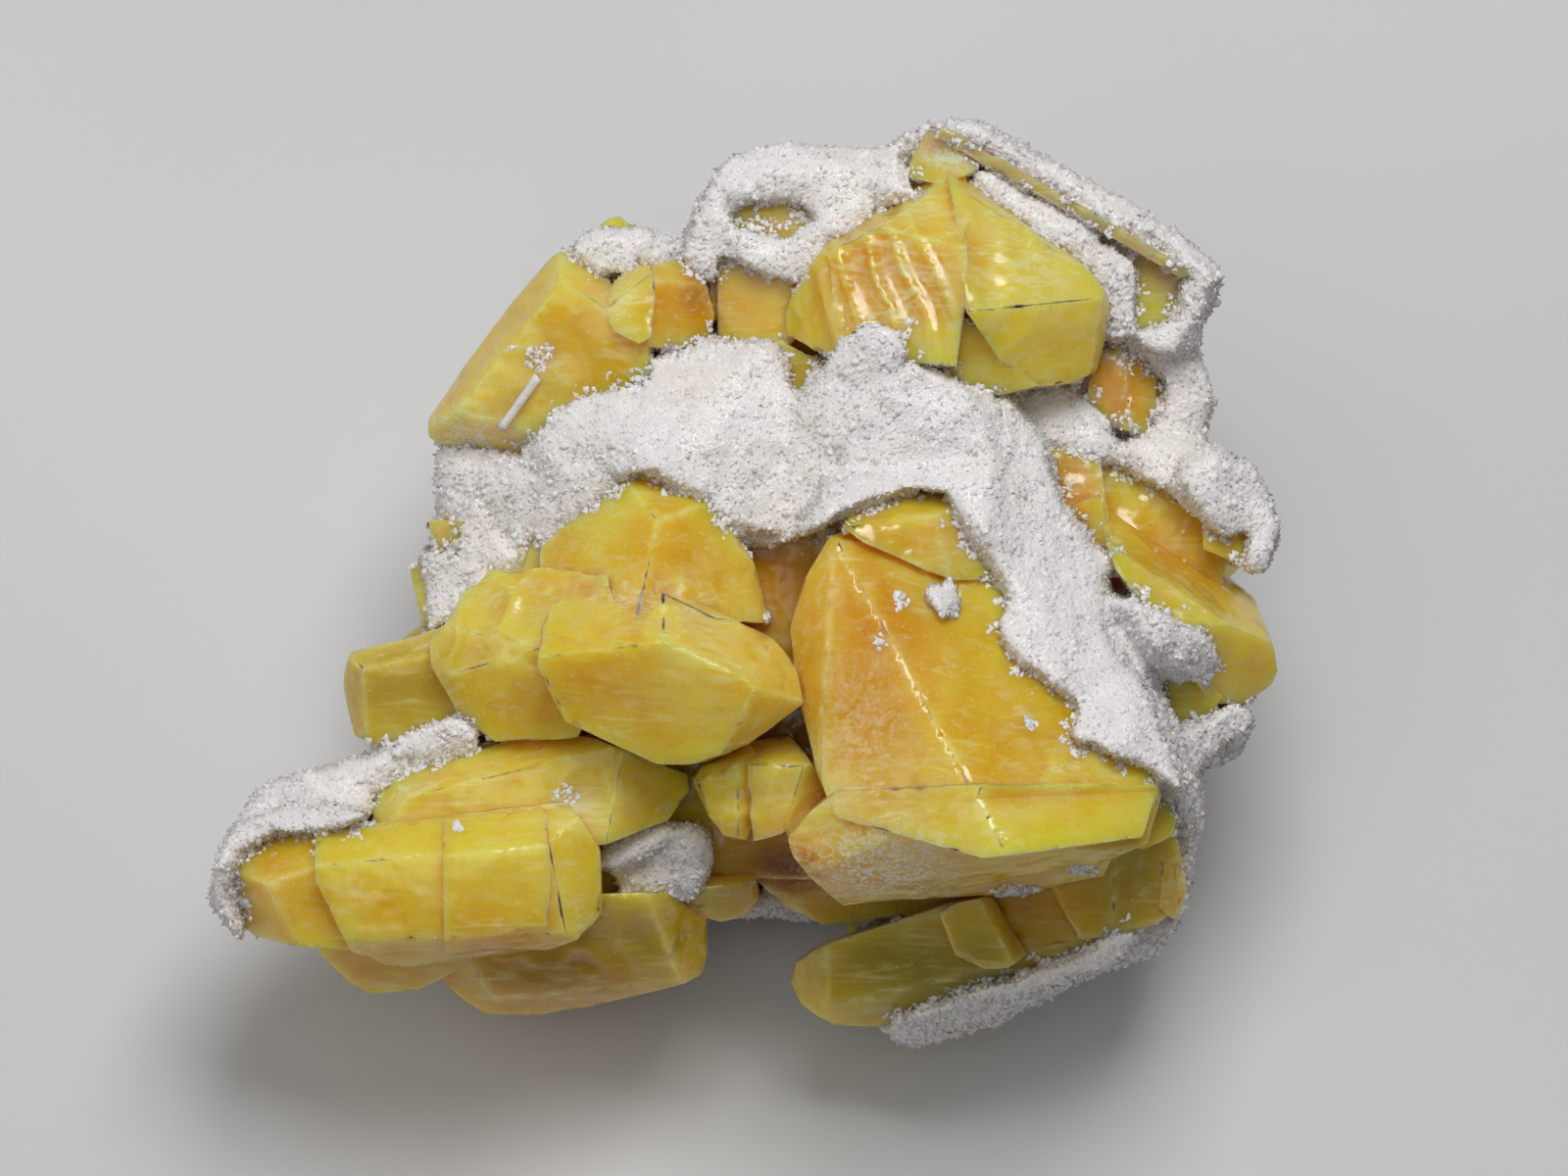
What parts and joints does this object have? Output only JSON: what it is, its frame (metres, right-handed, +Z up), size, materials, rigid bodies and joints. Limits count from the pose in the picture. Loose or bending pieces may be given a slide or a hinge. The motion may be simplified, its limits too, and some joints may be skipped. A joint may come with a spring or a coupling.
{
  "type": "native sulfur crystal cluster",
  "caption": "Cluster of large blocky translucent yellow sulfur crystals under a sugary white druse coat, broken off flat beneath so that it rests with its display face leaning back.",
  "frame": {"origin": "on the flat broken base, under the middle of the cluster", "axes": "+Z up from the base, +X to the right of the display face, -Y toward the viewer and the low edge of the display face, which looks up 70 degrees above the horizon"},
  "size_m": [0.1099, 0.0946, 0.0658],
  "materials": {
    "sulfur_crystals": "vitreous to resinous, translucent yellow",
    "druse_coat": "sugary white druse",
    "druse_nook": "sugary white druse",
    "druse_scab": "sugary white druse"
  },
  "bodies": {
    "root": {"sulfur_crystals": "sulfur_crystals", "druse_coat": "druse_coat", "druse_nook": "druse_nook", "druse_scab": "druse_scab"}
  },
  "joints": []
}
